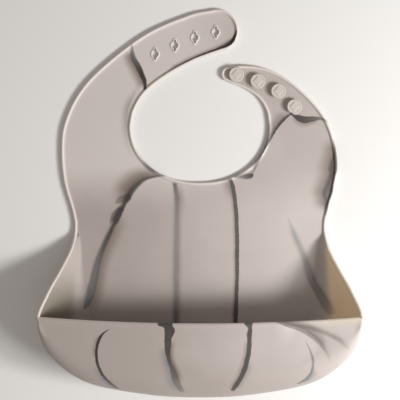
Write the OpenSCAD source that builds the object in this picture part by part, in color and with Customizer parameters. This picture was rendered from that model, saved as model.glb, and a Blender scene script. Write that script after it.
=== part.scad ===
// Moulded silicone catcher bib, lying open on its back.
// X runs across the bib, +Y points to the strap ends and +Z is the front.
// The back of the sheet lies in z = 0, and x = y = 0 is the middle of the plan.

/* [Sheet] */
// Thickness of the silicone sheet
sheet = 1.6; // [1.2:0.1:2]
// Height of the raised rim above the back of the sheet
rim_h = 3; // [2.4:0.1:3.4]
// Width of the raised rim
rim_w = 2.4; // [1.8:0.1:2.6]

/* [Neck] */
// Half the width of the neck opening
neck_a = 51.6; // [50:0.1:53]
// Distance from the middle of the neck opening down to the neckline
neck_b = 42.8; // [40:0.1:44]
// Height of the middle of the neck opening above the middle of the bib
neck_y = 56; // [55:0.5:57]

/* [Pocket] */
// Outside depth of the pocket, from the back of the bib to the front wall
pocket_depth = 46; // [40:1:50]
// Distance that the middle of the lip lies below the middle of the bib
lip_drop = 87; // [84:1:90]
// How much higher the corners of the lip lie than its middle
lip_rise = 4.7; // [3:0.1:6]

/* [Fastening] */
// Radius of the round middle of each fastening hole
hole_r = 2.3; // [2.1:0.1:2.6]
// Width of the slots above and below each hole
slot_w = 1.4; // [1:0.1:1.5]
// Distance from the middle of a hole to the end of each slot
slot_reach = 4.2; // [3.8:0.1:4.6]
// Width of the raised eyelet round each hole
eyelet_w = 1.1; // [0.8:0.1:1.3]
// Height of the eyelet above the sheet
eyelet_h = 0.6; // [0.4:0.1:0.9]
// Radius of the stud heads
stud_head_r = 5.6; // [5:0.1:6]
// Radius of the stud stems
stud_stem_r = 2.7; // [2.2:0.1:3]
// Clear height of the stem under the head
stud_stem_h = 2.2; // [1.8:0.1:2.6]
// Thickness of the stud heads
stud_head_h = 1.6; // [1.2:0.1:2]

/* [Hidden] */

mid = sheet / 2;                 // mid plane of the flat sheet
front_mid = pocket_depth - mid;  // mid plane of the front wall
span_steps = 5;                  // steps between two stations of a curve
wall_steps = 8;                  // steps across a side wall or the bend
far = 400;                       // larger than the bib

panel_colour = [0.76, 0.71, 0.68];
wall_colour = [0.72, 0.67, 0.63];
rim_colour = [0.83, 0.79, 0.76];
strap_colour = [0.74, 0.69, 0.66];
stud_colour = [0.78, 0.73, 0.70];

// Living hinges: place on the sheet and direction of the bending line.
// The local +Y of each one points along the strap to its tip.
waist = [[0, -6], 0];
left_hinges = [[[-77, 62], -11], [[-56.5, 91], -34], [[-11.5, 119.5], -69]];
right_hinges = [[[77, 44], 6], [[64.7, 75.8], 46], [[35.3, 91.5], 73]];
hinge_r = mid - 0.02;
strap_cut_r = 0.95;
waist_cut_r = 1.5;
strap_rim_gap = 0.5;
waist_rim_gap = 3.4;

// Fastening holes on the left strap, and studs on the right strap, tip first
holes = [[11.8, 126.3], [-3.9, 122.2], [-19, 116.3], [-33.8, 109.8]];
studs = [[27.3, 94], [43.3, 89], [58.7, 81.6], [70.7, 69.9]];

/* Curves */

// Point t of the way from p[i] to p[i + 1] on the smooth curve through the points p
function curve_point(p, i, t) =
    let (
        last = len(p) - 1,
        a = i > 0 ? p[i - 1] : 2 * p[0] - p[1],
        b = p[i],
        c = p[i + 1],
        d = i + 2 <= last ? p[i + 2] : 2 * p[last] - p[last - 1]
    )
    0.5 * (2 * b + (c - a) * t + (2 * a - 5 * b + 4 * c - d) * t * t + (3 * b - 3 * c + d - a) * t * t * t);

function curve(p, steps) = [
    for (i = [0 : len(p) - 2]) for (k = [0 : steps - 1]) curve_point(p, i, k / steps),
    p[len(p) - 1]
];

function arc(centre, r, from, to, steps) = [
    for (k = [0 : steps]) let (a = from + (to - from) * k / steps) centre + r * [cos(a), sin(a)]
];

// Signed power, for the slightly squared oval of the neckline
function spow(v, e) = sign(v) * pow(abs(v), e);
function neckline(steps) = [
    for (k = [0 : steps]) let (a = 180 + 180 * k / steps)
        [neck_a * spow(cos(a), 0.93), neck_y + neck_b * spow(sin(a), 0.93)]
];

// The inner points of the line p moved inwards by d; p runs clockwise
function inset(p, d) = [
    for (i = [1 : len(p) - 2])
        let (along = (p[i + 1] - p[i - 1]) / norm(p[i + 1] - p[i - 1]))
        p[i] + d * [along[1], -along[0]]
];

/* Outline of the sheet above the pocket, clockwise from the left side of the waist */

left_outer = [
    [-94.5, -21], [-96, -9], [-102.5, 14], [-104.5, 38], [-102, 58], [-91, 81],
    [-72, 101.5], [-40, 125.5], [-8, 139.3], [9, 143]
];
left_tip = arc([13, 127.5], 16, 98, -68, 14);
left_inner = [[17.5, 112.5], [-4, 104.6], [-26, 92.6], [-41, 80.5], [-49, 67.5], [-neck_a, neck_y]];
right_inner = [[neck_a, neck_y], [49.8, 67], [43.5, 77], [33, 84], [23.5, 87.6]];
right_tip = arc([21.2, 94.6], 5.4, -100, -262, 10);
right_outer = [
    [20.5, 99.8], [34, 101.2], [52, 98], [70, 87.8], [88.5, 69.8], [98.5, 52.5],
    [103.2, 30], [101.5, 10], [96.5, -8], [94.5, -21]
];
outline = concat(
    curve(left_outer, span_steps),
    left_tip,
    curve(left_inner, span_steps),
    neckline(32),
    curve(right_inner, span_steps),
    right_tip,
    curve(right_outer, span_steps)
);
waist_end = outline[0];
rim_inside = concat(
    [waist_end + [rim_w, 0]],
    inset(outline, rim_w),
    [[-waist_end[0] - rim_w, waist_end[1]]]
);

// Areas that hold all of one strap and nothing of the other
left_area = [[-130, 45], [0, 45], [0, 92], [10, 106], [60, 112], [60, 160], [-130, 160]];
right_area = [[12, 38], [130, 38], [130, 108], [40, 108], [12, 103]];

/* Pocket: sections from the flat panel out to the rim, from the waist to the middle.
   Each one is a Bezier curve: on the panel, two handles, and the upper end. */

left_sections = [
    [[-90, -21, mid], [-90.7, -21, mid], [-91.4, -21, mid], [-92.1, -21, mid]],
    [[-89, -36, mid], [-91, -36.5, mid], [-93.4, -36.5, 4], [-95.4, -36, 7.6]],
    [[-87.5, -52, mid], [-93, -53.5, mid], [-99, -53.5, 10], [-101.8, -52, 20.2]],
    [[-85.5, -68, mid], [-95, -71, mid], [-106, -71, 17], [-109, -67.5, 33.6]],
    [[-83, -83, mid], [-98, -90, mid], [-114.5, -93, 24], [-114.4, -85, front_mid]],
    [[-75, -97, mid], [-90, -112, mid], [-117.5, -117, front_mid - 2], [-106.5, -98, front_mid]],
    [[-60, -109, mid], [-74, -133, mid], [-91, -141, front_mid], [-79, -112, front_mid]],
    [[-32, -117, mid], [-37, -146, mid], [-42, -149, front_mid], [-36, -119, front_mid]],
    [[0, -120, mid], [0, -150.2, mid], [0, -150.2, front_mid], [0, -120, front_mid]]
];
corner = 4;  // the section at the corner of the lip

function mirrored_section(s) = [for (p = s) [-p[0], p[1], p[2]]];
right_sections = [for (i = [len(left_sections) - 1 : -1 : 0]) mirrored_section(left_sections[i])];
sections = concat(left_sections, [for (i = [1 : len(right_sections) - 1]) right_sections[i]]);
stations = curve(sections, span_steps);
corner_station = corner * span_steps;
last_station = len(stations) - 1;

function bezier(s, t) =
    pow(1 - t, 3) * s[0] + 3 * t * pow(1 - t, 2) * s[1] + 3 * t * t * (1 - t) * s[2] + pow(t, 3) * s[3];
function bezier_slope(s, t) =
    pow(1 - t, 2) * (s[1] - s[0]) + 2 * t * (1 - t) * (s[2] - s[1]) + t * t * (s[3] - s[2]);
function unit(v) = v / norm(v);

// Direction across the sections at station i, and the normal on the inner side of the sheet
function along(i, t) =
    bezier(stations[min(i + 1, last_station)], t) - bezier(stations[max(i - 1, 0)], t);
function inner_normal(i, t) = unit(cross(bezier_slope(stations[i], t), along(i, t)));

function lip_y(x) = -lip_drop + lip_rise * pow(x / 115, 2);

// The root line on the panel and the top line of the bend on the front wall
root_line = [for (s = stations) [s[0][0], s[0][1]]];
bend_line = [for (i = [corner_station : last_station - corner_station]) [stations[i][3][0], stations[i][3][1]]];

/* Solids from rings of points. Every ring has the same even count and runs up one face
   of the sheet and back down the other, so an end closes from point to opposite point. */

function ring_faces(rings, n) = [
    for (i = [0 : rings - 2]) for (k = [0 : n - 1])
        let (a = i * n + k, b = i * n + (k + 1) % n)
        each [[a, b + n, b], [a, a + n, b + n]]
];
function end_faces(start, n) = [
    for (k = [0 : n / 2 - 2])
        let (a = start + k, b = start + n - 1 - k)
        each [[a, a + 1, b], [a + 1, b - 1, b]]
];
function reversed(faces) = [for (f = faces) [f[2], f[1], f[0]]];
module swept(rings) {
    n = len(rings[0]);
    count = len(rings);
    polyhedron(
        [for (ring = rings) each ring],
        concat(ring_faces(count, n), end_faces(0, n), reversed(end_faces((count - 1) * n, n))),
        convexity = 10
    );
}

// Stations where the bend meets the edge of the front wall, which stands straight up
function on_front(i) = i >= corner_station && i <= last_station - corner_station;
function sheet_normal(i, t) = t == 1 && on_front(i) ? [0, 0, -1] : inner_normal(i, t);

// One ring of curved sheet: up its inner face and down its outer face
function sheet_ring(i) = concat(
    [for (k = [0 : wall_steps]) let (t = k / wall_steps) bezier(stations[i], t) + mid * sheet_normal(i, t)],
    [for (k = [wall_steps : -1 : 0]) let (t = k / wall_steps) bezier(stations[i], t) - mid * sheet_normal(i, t)]
);
module curved_sheet(first, last) {
    swept([for (i = [first : last]) sheet_ring(i)]);
}

/* Flat regions */

module beyond(hinge, gap = 0) {
    translate(hinge[0])
        rotate(hinge[1])
            translate([-far / 2, gap])
                square([far, far]);
}
module hinge_rod(hinge, r) {
    translate([hinge[0][0], hinge[0][1], mid])
        rotate([0, 0, hinge[1]])
            rotate([0, 90, 0])
                cylinder(r = r, h = far, center = true, $fn = 48);
}
module rim_ring() {
    difference() {
        polygon(outline);
        polygon(rim_inside);
    }
}
// The round end of a piece on the side of the bib that stays put, inside one strap's area
module hinge_end(hinge) {
    intersection() {
        hinge_rod(hinge, hinge_r);
        linear_extrude(sheet)
            intersection() {
                polygon(outline);
                children();
            }
    }
}

// Part of a strap from one hinge to the next; the children give the strap's area
module strap_piece(from, to = undef) {
    difference() {
        linear_extrude(sheet)
            intersection() {
                polygon(outline);
                children();
                difference() {
                    beyond(from);
                    if (to) beyond(to);
                }
            }
        hinge_rod(from, strap_cut_r);
    }
    linear_extrude(rim_h)
        intersection() {
            rim_ring();
            children();
            difference() {
                beyond(from, strap_cut_r + strap_rim_gap);
                if (to) beyond(to, -strap_rim_gap);
            }
        }
    if (to) hinge_end(to) children();
}

/* Fastening */

// Shape of a hole, grown by g: a round middle with a slot above it and one below
module hole_shape(g = 0) {
    circle(r = hole_r + g, $fn = 64);
    translate([-slot_w / 2 - g, -slot_reach + 1])
        square([slot_w + 2 * g, 2 * slot_reach - 1 - slot_w / 2]);
    translate([0, slot_reach - slot_w / 2])
        circle(r = slot_w / 2 + g, $fn = 32);
    translate([0, 1 - slot_reach])
        circle(r = slot_w / 2 + 0.2 + g, $fn = 32);
}
module hole_cutters() {
    for (p = holes)
        translate([p[0], p[1], -1])
            linear_extrude(sheet + 2)
                hole_shape();
}
module eyelet(i) {
    color(rim_colour)
        translate([holes[i][0], holes[i][1], sheet])
            linear_extrude(eyelet_h)
                difference() {
                    hole_shape(eyelet_w);
                    hole_shape();
                }
}
// Stud: a mushroom head on a stem, with a low four-pointed boss on top
module stud(i) {
    top = stud_stem_h + stud_head_h;
    boss_r = 3.6;
    color(stud_colour)
        translate([studs[i][0], studs[i][1], sheet]) {
            rotate_extrude($fn = 64)
                polygon([
                    [0, 0], [stud_stem_r, 0], [stud_stem_r, stud_stem_h], [stud_head_r - 0.5, stud_stem_h],
                    [stud_head_r, stud_stem_h + 0.5], [stud_head_r, top - 0.6], [stud_head_r - 0.6, top], [0, top]
                ]);
            translate([0, 0, top])
                linear_extrude(0.4)
                    difference() {
                        circle(r = boss_r, $fn = 4);
                        for (a = [45 : 90 : 315])
                            rotate(a)
                                translate([boss_r * 2.5, 0])
                                    circle(r = boss_r * 1.9, $fn = 64);
                    }
        }
}

/* Sub-parts */

module chest_panel() {
    color(panel_colour) {
        difference() {
            linear_extrude(sheet)
                difference() {
                    intersection() {
                        polygon(outline);
                        beyond(waist);
                    }
                    strap_areas(0);
                }
            hinge_rod(waist, waist_cut_r);
        }
        linear_extrude(rim_h)
            difference() {
                intersection() {
                    rim_ring();
                    beyond(waist, waist_rim_gap);
                }
                strap_areas(-strap_rim_gap);
            }
        hinge_end(left_hinges[0]) polygon(left_area);
        hinge_end(right_hinges[0]) polygon(right_area);
    }
}
// Everything beyond the two shoulder hinges
module strap_areas(gap) {
    intersection() {
        polygon(left_area);
        beyond(left_hinges[0], gap);
    }
    intersection() {
        polygon(right_area);
        beyond(right_hinges[0], gap);
    }
}

module left_strap_root() {
    color(strap_colour)
        strap_piece(left_hinges[0], left_hinges[1]) polygon(left_area);
}
module left_strap_middle() {
    color(strap_colour)
        difference() {
            strap_piece(left_hinges[1], left_hinges[2]) polygon(left_area);
            hole_cutters();
        }
}
module left_strap_tip() {
    color(strap_colour)
        difference() {
            strap_piece(left_hinges[2]) polygon(left_area);
            hole_cutters();
        }
}
module right_strap_root() {
    color(strap_colour)
        strap_piece(right_hinges[0], right_hinges[1]) polygon(right_area);
}
module right_strap_middle() {
    color(strap_colour)
        strap_piece(right_hinges[1], right_hinges[2]) polygon(right_area);
}
module right_strap_tip() {
    color(strap_colour)
        strap_piece(right_hinges[2]) polygon(right_area);
}

// Flat back of the pocket, up to the waist hinge
module lower_panel() {
    color(panel_colour) {
        linear_extrude(sheet) {
            polygon(root_line);
            difference() {
                polygon(outline);
                beyond(waist);
            }
        }
        linear_extrude(rim_h)
            difference() {
                rim_ring();
                beyond(waist, -waist_rim_gap);
            }
        intersection() {
            hinge_rod(waist, hinge_r);
            linear_extrude(sheet)
                polygon(outline);
        }
    }
}
module pocket_front() {
    lip = [for (i = [len(bend_line) - 2 : -1 : 1]) let (x = bend_line[i][0]) [x, lip_y(x) - rim_w]];
    color(wall_colour)
        translate([0, 0, pocket_depth - sheet])
            linear_extrude(sheet)
                polygon(concat(bend_line, lip));
}
module pocket_bend() {
    color(wall_colour)
        curved_sheet(corner_station, last_station - corner_station);
}
module left_side_wall() {
    color(wall_colour)
        curved_sheet(0, corner_station);
}
module right_side_wall() {
    color(wall_colour)
        curved_sheet(last_station - corner_station, last_station);
}

// Raised rim along both side walls and the lip, in the plane of the sheet that it edges
function on_lip(i) = i > corner_station && i < last_station - corner_station;
function rim_edge(i) =
    on_lip(i)
        ? let (x = stations[i][3][0]) [x, lip_y(x) - rim_w, front_mid]
        : stations[i][3];
function edge_out(i) = on_lip(i) ? [0, 1, 0] : unit(bezier_slope(stations[i], 1));
function mouth_rim_ring(i) =
    let (
        before = max(i - 1, 0),
        after = min(i + 1, last_station),
        p = rim_edge(i),
        at_waist = before == i || after == i,
        out = at_waist ? edge_out(i) : unit(edge_out(before) + edge_out(i) + edge_out(after)),
        inner = at_waist ? [0, 0, 1] : unit(cross(out, rim_edge(after) - rim_edge(before))),
        top = rim_h - mid,
        bevel = 0.7
    )
    [
        p - mid * inner,
        p + (top - bevel) * inner,
        p + top * inner + bevel * out,
        p + top * inner + (rim_w - bevel) * out,
        p + (top - bevel) * inner + rim_w * out,
        p - mid * inner + rim_w * out
    ];
module mouth_rim() {
    color(rim_colour)
        swept([for (i = [0 : last_station]) mouth_rim_ring(i)]);
}

lower_panel();
pocket_bend();
pocket_front();
left_side_wall();
right_side_wall();
mouth_rim();
chest_panel();
left_strap_root();
left_strap_middle();
left_strap_tip();
eyelet(0);  // eyelet_1
eyelet(1);  // eyelet_2
eyelet(2);  // eyelet_3
eyelet(3);  // eyelet_4
right_strap_root();
right_strap_middle();
right_strap_tip();
stud(0);  // stud_1
stud(1);  // stud_2
stud(2);  // stud_3
stud(3);  // stud_4
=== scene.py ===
"""Silicone catcher bib: one continuous skin of silicone, cut at its bending zones, with four studs."""

import math
from typing import NamedTuple

import bmesh
import bpy
import numpy as np
from mathutils import Matrix, Vector
from mathutils.geometry import delaunay_2d_cdt


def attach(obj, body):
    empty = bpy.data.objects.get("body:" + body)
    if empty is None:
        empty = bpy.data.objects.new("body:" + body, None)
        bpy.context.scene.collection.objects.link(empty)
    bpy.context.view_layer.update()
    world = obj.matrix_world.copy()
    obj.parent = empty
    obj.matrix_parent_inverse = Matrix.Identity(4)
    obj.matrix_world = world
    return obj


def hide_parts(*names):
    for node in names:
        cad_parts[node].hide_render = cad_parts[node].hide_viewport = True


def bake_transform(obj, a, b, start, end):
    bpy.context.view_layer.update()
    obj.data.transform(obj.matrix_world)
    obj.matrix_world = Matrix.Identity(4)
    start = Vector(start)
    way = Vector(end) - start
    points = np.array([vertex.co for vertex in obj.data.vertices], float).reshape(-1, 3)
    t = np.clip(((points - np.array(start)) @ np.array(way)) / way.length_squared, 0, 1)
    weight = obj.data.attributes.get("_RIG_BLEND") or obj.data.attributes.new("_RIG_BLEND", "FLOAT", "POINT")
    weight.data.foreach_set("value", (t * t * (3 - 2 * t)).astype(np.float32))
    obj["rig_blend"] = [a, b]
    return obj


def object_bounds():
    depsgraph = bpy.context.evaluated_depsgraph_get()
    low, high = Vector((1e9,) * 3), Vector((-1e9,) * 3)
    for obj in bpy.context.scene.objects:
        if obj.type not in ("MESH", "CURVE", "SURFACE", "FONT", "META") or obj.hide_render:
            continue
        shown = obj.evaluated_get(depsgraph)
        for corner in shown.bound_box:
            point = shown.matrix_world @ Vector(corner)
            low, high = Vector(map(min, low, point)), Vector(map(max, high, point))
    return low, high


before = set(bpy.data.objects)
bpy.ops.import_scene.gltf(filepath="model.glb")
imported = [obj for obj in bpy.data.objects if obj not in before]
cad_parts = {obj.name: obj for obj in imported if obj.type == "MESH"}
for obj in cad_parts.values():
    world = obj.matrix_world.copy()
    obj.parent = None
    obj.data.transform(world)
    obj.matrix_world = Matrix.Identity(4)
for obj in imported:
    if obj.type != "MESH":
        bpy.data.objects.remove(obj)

CAD_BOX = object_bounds()
MM = 0.001

# ---------------------------------------------------------------- sizes, in millimetres
SHEET = 1.6
MID = SHEET / 2
RIM_W = 2.4
DEPTH = 46.0
FRONT = DEPTH - MID
FACE_STEP = 2.0      # spacing of the points inside the flat sheet
EDGE_STEP = 1.5      # spacing of the points along its edge
STATION_STEPS = 30   # stations of the pocket between two of its sections
WALL_ROWS = 84       # rows from the panel to the rim across the pocket
OUT_ROUNDS = 60      # rounds that even out the way the pocket's edge points
NORMAL_ROUNDS = 6

NECK = (51.6, 42.8, 56.0)    # half width, depth, and height of its widest place
NECK_POWER = 0.93            # below 1 the neckline is squarer than an ellipse
LIP_DROP = 87.0
LIP_RISE = 4.7       # of the lip's ends, above its middle
LIP_HALF = 115

LEFT_OUTER = [
    (-94.5, -21), (-96, -9), (-102.5, 14), (-104.5, 38), (-102, 58), (-91, 81),
    (-72, 101.5), (-40, 125.5), (-8, 139.3), (9, 143),
]
LEFT_TIP = ((13, 127.5), 16, 98, -68)
LEFT_INNER = [(17.5, 112.5), (-4, 104.6), (-26, 92.6), (-41, 80.5), (-49, 67.5), (-51.6, 56)]
RIGHT_INNER = [(51.6, 56), (49.8, 67), (43.5, 77), (33, 84), (23.5, 87.6)]
RIGHT_TIP = ((21.2, 94.6), 5.4, -100, -262)
RIGHT_OUTER = [
    (20.5, 99.8), (34, 101.2), (52, 98), (70, 87.8), (88.5, 69.8), (98.5, 52.5),
    (103.2, 30), (101.5, 10), (96.5, -8), (94.5, -21),
]

BELOW_WAIST = (97.8, -36)    # where the pocket's edge goes on, below the flat sheet's
EDGE_RISE = (21, 36)         # distances below the middle between which the pocket's edge leaves the panel
RIM_RISE = (24, 60)          # and between which the rim comes to stand out on both faces

# Sections of the pocket's left half: on the panel, two handles, upper end
LEFT_SECTIONS = [
    [(-90, -21, MID), (-90.7, -21, MID), (-91.4, -21, MID), (-92.1, -21, MID)],
    [(-89, -36, MID), (-91, -36.5, MID), (-93.4, -36.5, 4), (-95.4, -36, 7.6)],
    [(-87.5, -52, MID), (-93, -53.5, MID), (-99, -53.5, 10), (-101.8, -52, 20.2)],
    [(-85.5, -68, MID), (-95, -71, MID), (-106, -71, 17), (-109, -67.5, 33.6)],
    [(-83, -83, MID), (-98, -90, MID), (-114.5, -93, 24), (-114.4, -85, FRONT)],
    [(-75, -97, MID), (-90, -112, MID), (-117.5, -117, FRONT - 2), (-106.5, -98, FRONT)],
    [(-60, -109, MID), (-74, -133, MID), (-91, -141, FRONT), (-79, -112, FRONT)],
    [(-32, -117, MID), (-37, -146, MID), (-42, -149, FRONT), (-36, -119, FRONT)],
    [(0, -120, MID), (0, -150.2, MID), (0, -150.2, FRONT), (0, -120, FRONT)],
]
CORNER = 4 * STATION_STEPS    # station at each corner of the mouth, counted from its own end
ABOVE_WAIST = [(-91, -9, MID), (-91.9, -9, MID), (-92.7, -9, MID), (-93.6, -9, MID)]

HOLES = [(11.8, 126.3), (-3.9, 122.2), (-19, 116.3), (-33.8, 109.8)]
HOLE_R = 2.3
SLOT_HALF = 0.7
SLOT_REACH = 4.2
EYELET_W = 1.1
EYELET_H = 0.6
STUDS = [(27.3, 94), (43.3, 89), (58.7, 81.6), (70.7, 69.9)]
STUD_BODIES = ["right_tip", "right_middle", "right_middle", "right_root"]
STUD_TURNS = 72      # points round a stud
STEM_R = 2.7
STEM_H = 2.2
HEAD_R = 5.6
HEAD_H = 1.6

# Rim profile: distance in from the edge, height above the back on the flat sheet, and in the pocket,
# where the rim stands out on both faces
RIM_PROFILE = [
    (3.9, 1.6, 1.6), (2.8, 1.62, 1.6), (2.4, 1.72, 1.62), (2.15, 1.95, 1.68), (2.0, 2.3, 1.77),
    (1.8, 2.65, 1.87), (1.5, 2.88, 1.97), (1.15, 2.98, 2.02), (0.8, 2.95, 1.98), (0.48, 2.78, 1.82),
    (0.2, 2.42, 1.5), (0.04, 1.9, 1.15), (0.0, 1.3, 0.8), (0.06, 0.75, 0.42), (0.28, 0.3, 0.02),
    (0.7, 0.05, -0.28), (1.3, 0.0, -0.4), (2.1, 0.0, -0.3), (2.8, 0.0, -0.07), (3.9, 0.0, 0.0),
]
RIM_REACH = RIM_PROFILE[0][0]
EDGE_ROW = 12                 # row of the profile that is the very edge
PALE_ROWS = (2, 5, 12, 15)    # rows where the pale colour, partly a painted highlight, starts, is full, still is full, and ends

# Colours as 0 to 255 sRGB values
# The greige runs between the next two colours, by its cloudy tone and by painted light and shade
DUSKY_AND_SHADED = (173, 163, 157)
LIGHT_AND_LIT = (213, 204, 200)
# Paler rims: partly their own paler colour, partly a painted highlight
RIM_PALE_AND_HIGHLIGHT = (222, 213, 207)
# Painted warm glow where light comes through the wings, and how strongly it is mixed in
PAINTED_GLOW_WARM = (217, 205, 184)
PAINTED_GLOW_TINT = 0.6
RIM_GLOW = 0.8       # the thicker rim lets less light through
# Painted shade in the deep left corner of the pocket, and how strongly it is mixed in
PAINTED_CORNER_SHADE_OLIVE = (112, 107, 88)
PAINTED_CORNER_SHADE_TINT = 0.6

# Bending zones: middle, direction of the bending line, half length, and the two bodies
ZONES = {
    "waist": ((0, -6), 0, 13.5, "pocket", "chest"),
    "left_shoulder": ((-77, 62), -11, 11, "chest", "left_root"),
    "left_bend": ((-56.5, 91), -34, 13, "left_root", "left_middle"),
    "left_end": ((-11.5, 119.5), -69, 15.5, "left_middle", "left_tip"),
    "right_shoulder": ((77, 44), 6, 11, "chest", "right_root"),
    "right_bend": ((64.7, 75.8), 46, 5.6, "right_root", "right_middle"),
    "right_end": ((35.3, 91.5), 73, 5.6, "right_middle", "right_tip"),
}
LEFT_ZONES = ["left_shoulder", "left_bend", "left_end"]
RIGHT_ZONES = ["right_shoulder", "right_bend", "right_end"]
WAIST_CUT = (110, 12)    # a cut at the waist reaches this far from the bib's middle and from its line
STRAPS_FROM = 38         # the sheet is two straps above this
RIGHT_STRAP = (8, 104)   # the right strap lies right of the one and below the other


def add_object(name, data):
    obj = bpy.data.objects.new(name, data)
    bpy.context.scene.collection.objects.link(obj)
    return obj


# ---------------------------------------------------------------- curves
def catmull(points, steps, before=None, after=None):
    """Smooth curve through the points, with steps points a span; before and after only steer its ends."""
    p = np.array(points, float)
    first = 2 * p[0] - p[1] if before is None else np.array(before, float)
    last = 2 * p[-1] - p[-2] if after is None else np.array(after, float)
    p = np.concatenate([[first], p, [last]])
    t = (np.arange(steps) / steps).reshape((-1,) + (1,) * (p.ndim - 1))
    spans = []
    for a, b, c, d in zip(p, p[1:], p[2:], p[3:]):
        square = 2 * a - 5 * b + 4 * c - d
        cube = 3 * b - 3 * c + d - a
        spans.append(0.5 * (2 * b + (c - a) * t + square * t**2 + cube * t**3))
    return np.concatenate(spans + [p[-2:-1]])


def arc(centre, r, start, end, steps=40):
    a = np.radians(np.linspace(start, end, steps))
    return np.stack([centre[0] + r * np.cos(a), centre[1] + r * np.sin(a)], 1)


def neckline(steps=160):
    a, b, y = NECK
    t = np.radians(np.linspace(180, 360, steps))
    c, s = np.cos(t), np.sin(t)
    x_shape = np.sign(c) * abs(c) ** NECK_POWER
    y_shape = np.sign(s) * abs(s) ** NECK_POWER
    return np.stack([a * x_shape, y + b * y_shape], 1)


def resample(points, step):
    """The line with points spaced evenly, about step apart."""
    p = np.array(points, float)
    keep = np.concatenate([[True], np.linalg.norm(np.diff(p, axis=0), axis=1) > 1e-6])
    p = p[keep]
    s = np.concatenate([[0], np.cumsum(np.linalg.norm(np.diff(p, axis=0), axis=1))])
    at = np.linspace(0, s[-1], max(2, round(s[-1] / step) + 1))
    return np.stack([np.interp(at, s, p[:, k]) for k in range(p.shape[1])], 1)


def at_distance(line, distances):
    """Points at these distances along a line."""
    s = np.concatenate([[0], np.cumsum(np.linalg.norm(np.diff(line, axis=0), axis=1))])
    return np.stack([np.interp(distances, s, line[:, k]) for k in range(line.shape[1])], 1)


def length(line):
    return np.linalg.norm(np.diff(line, axis=0), axis=1).sum()


def unit(v):
    return v / np.maximum(np.linalg.norm(v, axis=-1, keepdims=True), 1e-9)


def smooth(x, low, high):
    t = np.clip((x - low) / (high - low), 0, 1)
    return t * t * (3 - 2 * t)


# ---------------------------------------------------------------- outline of the flat sheet
def flat_edge():
    """Edge of the sheet from the left side of the waist round both straps to the right side."""
    line = np.concatenate([
        catmull(LEFT_OUTER, 30, before=(-BELOW_WAIST[0], BELOW_WAIST[1])),
        arc(*LEFT_TIP), catmull(LEFT_INNER, 30), neckline(), catmull(RIGHT_INNER, 30), arc(*RIGHT_TIP),
        catmull(RIGHT_OUTER, 30, after=BELOW_WAIST),
    ])
    return resample(line, EDGE_STEP)


def flat_inward(edge):
    """Unit vectors that point into the sheet; across the bib at both ends."""
    along = unit(np.gradient(edge, axis=0))
    inward = np.stack([along[:, 1], -along[:, 0]], 1)
    for _ in range(2):
        inward[1:-1] = unit(inward[:-2] + 2 * inward[1:-1] + inward[2:])
    inward[0] = (1, 0)
    inward[-1] = (-1, 0)
    return inward


# ---------------------------------------------------------------- pocket
def lip_y(x):
    return -LIP_DROP + LIP_RISE * (x / LIP_HALF) ** 2


def mirrored(section):
    return [(-x, y, z) for x, y, z in section]


def pocket_sections():
    return LEFT_SECTIONS + [mirrored(section) for section in LEFT_SECTIONS[-2::-1]]


def bezier(section, t):
    t = t[:, None]
    a, b, c, d = section
    return (1 - t) ** 3 * a + 3 * t * (1 - t) ** 2 * b + 3 * t**2 * (1 - t) * c + t**3 * d


def level_stations():
    """Stations of the pocket, which leave the flat panel at both ends without a kink."""
    stations = catmull(pocket_sections(), STATION_STEPS, before=ABOVE_WAIST, after=mirrored(ABOVE_WAIST))
    rise = smooth(-stations[..., 1], *EDGE_RISE)
    stations[..., 2] = MID + (stations[..., 2] - MID) * rise
    return stations


def pocket_paths():
    """Middle lines of the sheet from the panel to the edge of the rim, one for each station."""
    stations = level_stations()
    last = len(stations) - 1
    t = np.linspace(0, 1, 60)
    on_lip = [CORNER < i < last - CORNER for i in range(len(stations))]
    outs = []
    for section, lip in zip(stations, on_lip):
        outs.append([0, 1, 0] if lip else unit(section[3] - section[2]))
    outs = np.array(outs)
    for _ in range(OUT_ROUNDS):
        outs[1:-1] = unit(outs[:-2] + outs[1:-1] + outs[2:])
    paths = []
    run = np.linspace(0, 1, 16)[1:, None]
    for section, out, lip in zip(stations, outs, on_lip):
        line = bezier(section, t)
        end = section[3]
        if lip:
            below_rim = np.array([end[0], lip_y(end[0]) - RIM_W, FRONT])
            line = np.concatenate([line, end + (below_rim - end) * run])
            end = below_rim
        paths.append(np.concatenate([line, [end + out * RIM_W]]))
    return paths


def round_corners(middle, rim):
    """Rounds both corners of the mouth, where the wings' rim turns into the lip."""
    reach = 9
    rounds = 40
    at = np.arange(len(middle))
    corners = (CORNER, len(middle) - 1 - CORNER)
    near = sum(np.exp(-(((at - corner) / reach) ** 2)) for corner in corners)
    high = smooth(np.arange(middle.shape[1]) / (middle.shape[1] - 1), 0.45, 0.9)
    sheets = ((middle, near[1:-1, None, None] * high[None, :, None]), (rim, near[1:-1, None, None]))
    for surface, weight in sheets:
        for _ in range(rounds):
            mean = (surface[:-2] + surface[2:]) / 2
            surface[1:-1] += 0.6 * weight * (mean - surface[1:-1])


def fold(x, y, line, depth, gentle, steep):
    """Depth of a sharp valley along a line in plan, gentle on its right and steep on its left."""
    p = catmull(line, 10)
    along = unit(np.gradient(p, axis=0))
    dx = x[..., None] - p[:, 0]
    dy = y[..., None] - p[:, 1]
    nearest = (dx**2 + dy**2).argmin(-1)
    dx = np.take_along_axis(dx, nearest[..., None], -1)[..., 0]
    dy = np.take_along_axis(dy, nearest[..., None], -1)[..., 0]
    distance = np.hypot(dx, dy)
    left = along[nearest, 0] * dy - along[nearest, 1] * dx > 0
    place = nearest / (len(p) - 1)
    fade = smooth(place, 0, 0.3) * (1 - smooth(place, 0.55, 1.0))
    return depth * fade * np.exp(-distance / np.where(left, steep, gentle))


# ---------------------------------------------------------------- the skin
# Marks from 0 to 1: on the front wall; on a wing that light comes through, which also gets a painted warm
# glow; on the raised rims, paler and partly a painted highlight; in the deep left corner of the pocket, where
# painted shade darkens the silicone
MARKS = ("front", "glow", "pale", "dull")


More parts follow.
